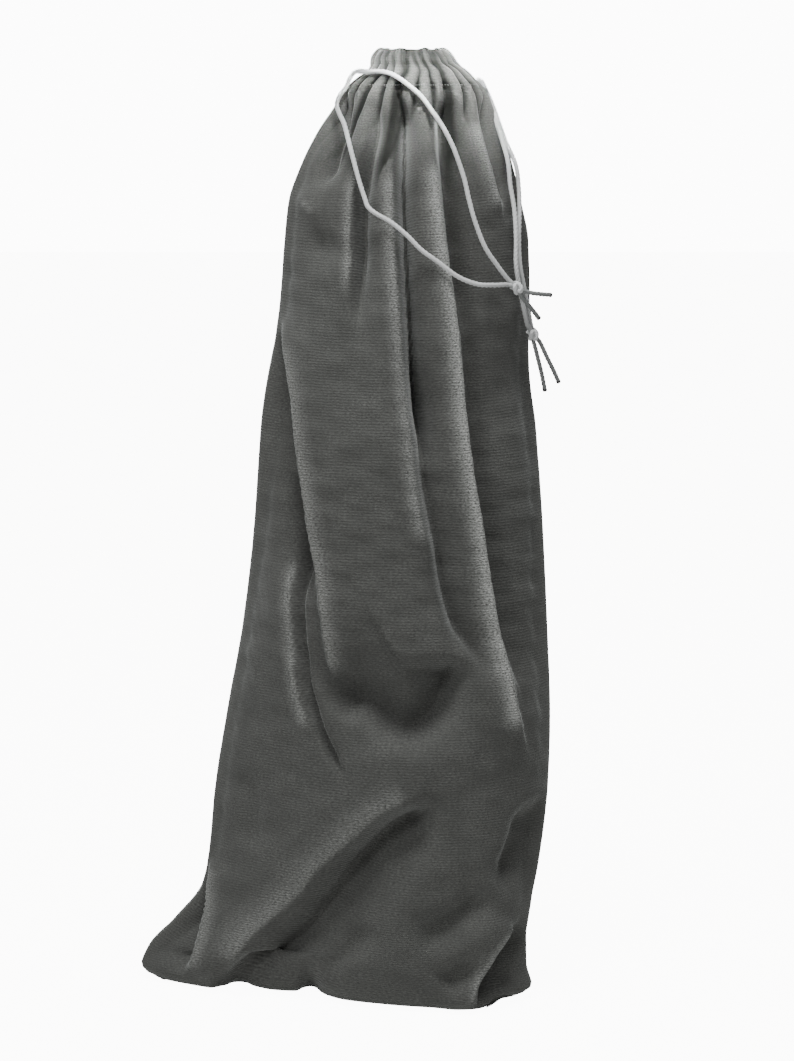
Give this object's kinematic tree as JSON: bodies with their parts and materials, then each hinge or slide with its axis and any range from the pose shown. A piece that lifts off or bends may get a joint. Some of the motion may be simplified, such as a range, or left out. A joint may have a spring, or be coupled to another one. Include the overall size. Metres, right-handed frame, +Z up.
{
  "type": "laundry bag",
  "caption": "Tall velour drawstring laundry bag, standing filled, with a gathered mouth and knotted drawcords at both sides.",
  "frame": {"origin": "on the floor under the middle of the bag's own box, loose drawcords left out", "axes": "+Z up, +X towards the side seam on the right of the front panel, the front panel faces -Y"},
  "size_m": [0.2752, 0.1635, 0.613],
  "materials": {
    "velour": "short napped cotton velour",
    "seam_binding": "overlocked raw edges",
    "thread": "spun polyester sewing thread",
    "drawcord": "twisted polyester cord",
    "sealed_tip": "melted cord end"
  },
  "bodies": {
    "bag": {"front_panel": "velour", "lower_back_panel": "velour", "front_casing": "velour", "left_side_seam": "seam_binding", "right_side_seam": "seam_binding", "bottom_seam": "seam_binding", "front_casing_stitching": "thread", "left_exit_bartack": "thread", "right_exit_bartack": "thread", "left_cord_front_run": "drawcord", "right_cord_front_run": "drawcord"},
    "mouth_back": {"upper_back_panel": "velour", "back_casing": "velour", "back_casing_stitching": "thread", "left_cord_back_run": "drawcord", "right_cord_back_run": "drawcord"},
    "left_loop": {"left_cord_upper_strand": "drawcord", "left_cord_lower_strand": "drawcord", "left_knot": "drawcord", "left_cord_side_tail": "drawcord", "left_cord_down_tail": "drawcord", "left_cord_tips": "sealed_tip"},
    "right_loop": {"right_cord_inner_strand": "drawcord", "right_cord_outer_strand": "drawcord", "right_knot": "drawcord", "right_cord_inner_tail": "drawcord", "right_cord_outer_tail": "drawcord", "right_cord_tips": "sealed_tip"}
  },
  "joints": [
    {"name": "mouth_open", "type": "hinge", "parent": "bag", "child": "mouth_back", "pos_m": [0.0365, 0.0722, 0.4], "axis": [-1, 0, 0], "range_deg": [0, 25]},
    {"name": "left_loop_lift", "type": "hinge", "parent": "bag", "child": "left_loop", "pos_m": [0.0177, 0, 0.5976], "axis": [-1, 0, 0], "range_deg": [0, 65]},
    {"name": "right_loop_swing", "type": "hinge", "parent": "bag", "child": "right_loop", "pos_m": [0.0853, 0, 0.5926], "axis": [0, -1, 0], "range_deg": [0, 55]}
  ]
}
